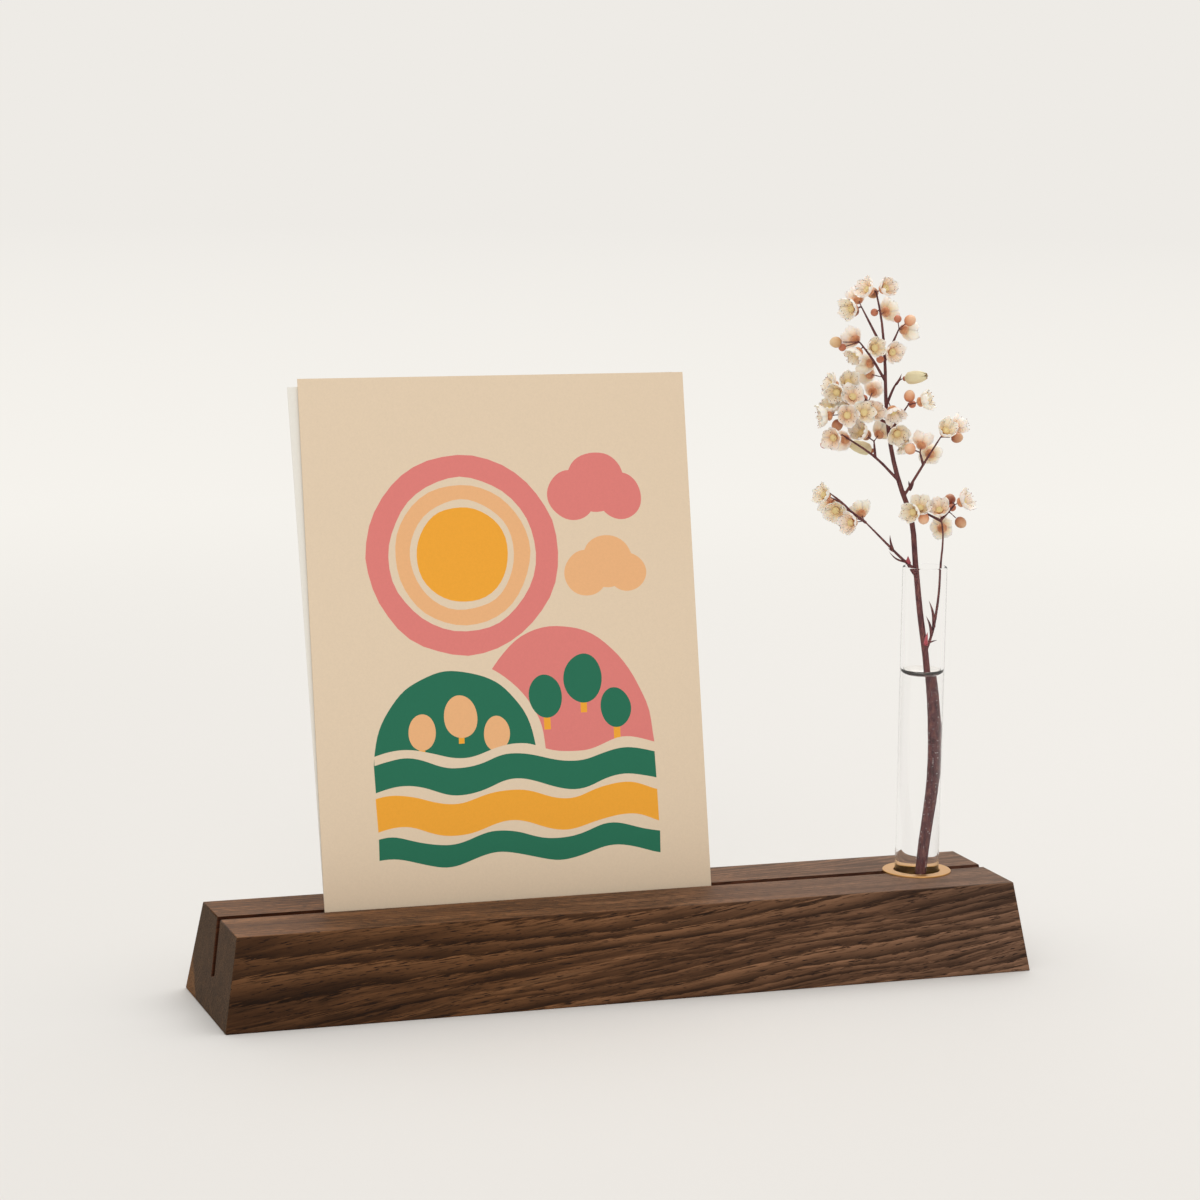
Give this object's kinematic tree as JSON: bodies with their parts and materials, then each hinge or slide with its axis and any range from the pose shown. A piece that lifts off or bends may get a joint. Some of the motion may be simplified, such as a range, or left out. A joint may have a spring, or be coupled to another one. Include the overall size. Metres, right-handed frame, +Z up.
{
  "type": "card holder",
  "caption": "Bevelled dark wooden block with a leaning saw slot that holds postcards upright, and a brass-lined socket for a glass bud tube with water and a flowering sprig.",
  "frame": {"origin": "middle of the block's underside, on the surface that it stands on", "axes": "+X to the right along the block, towards the tube's end; +Y to the back, the way the cards lean; +Z up"},
  "size_m": [0.2186, 0.0534, 0.1844],
  "materials": {
    "dark_wood": "satin",
    "brass": "satin",
    "clear_glass": "gloss",
    "water": "gloss",
    "printed_card": "matte",
    "plain_card": "matte",
    "stem_bark": "matte",
    "petal": "matte",
    "bud_skin": "matte"
  },
  "bodies": {
    "base": {"base_block": "dark_wood", "socket_liner": "brass"},
    "front_card": {"front_card": "printed_card"},
    "rear_card": {"rear_card": "plain_card"},
    "vase": {"glass_tube": "clear_glass", "water": "water"},
    "sprig": {"sprig_stem": "stem_bark", "blossom_01": "petal", "blossom_02": "petal", "blossom_03": "petal", "blossom_04": "petal", "blossom_05": "petal", "blossom_06": "petal", "blossom_07": "petal", "blossom_08": "petal", "blossom_09": "petal", "blossom_10": "petal", "blossom_11": "petal", "blossom_12": "petal", "blossom_13": "petal", "blossom_14": "petal", "blossom_15": "petal", "blossom_16": "petal", "blossom_17": "petal", "blossom_18": "petal", "blossom_19": "petal", "blossom_20": "petal", "blossom_21": "petal", "blossom_22": "petal", "blossom_23": "petal", "blossom_24": "petal", "blossom_25": "petal", "blossom_26": "petal", "blossom_27": "petal", "blossom_28": "petal", "blossom_29": "petal", "blossom_30": "petal", "blossom_31": "petal", "blossom_32": "petal", "blossom_33": "petal", "blossom_34": "petal", "blossom_35": "petal", "blossom_36": "petal", "blossom_37": "petal", "blossom_38": "petal", "blossom_39": "petal", "bud_01": "bud_skin", "bud_02": "bud_skin", "bud_03": "bud_skin", "bud_04": "bud_skin", "bud_05": "bud_skin", "bud_06": "bud_skin", "bud_07": "bud_skin", "bud_08": "bud_skin", "bud_09": "bud_skin", "bud_10": "bud_skin", "bud_11": "bud_skin", "bud_12": "bud_skin", "bud_13": "bud_skin", "bud_14": "bud_skin"}
  },
  "joints": [
    {"name": "front_card_lift", "type": "slide", "parent": "base", "child": "front_card", "axis": [0, 0.2079, 0.9781], "range_m": [0, 0.03]},
    {"name": "rear_card_slide", "type": "slide", "parent": "base", "child": "rear_card", "axis": [1, 0, 0], "range_m": [-0.028, 0.048]},
    {"name": "vase_lift", "type": "slide", "parent": "base", "child": "vase", "axis": [0, 0, 1], "range_m": [0, 0.03]},
    {"name": "sprig_lift", "type": "slide", "parent": "vase", "child": "sprig", "axis": [0, 0, 1], "range_m": [0, 0.105], "deforming": ["water"]}
  ]
}
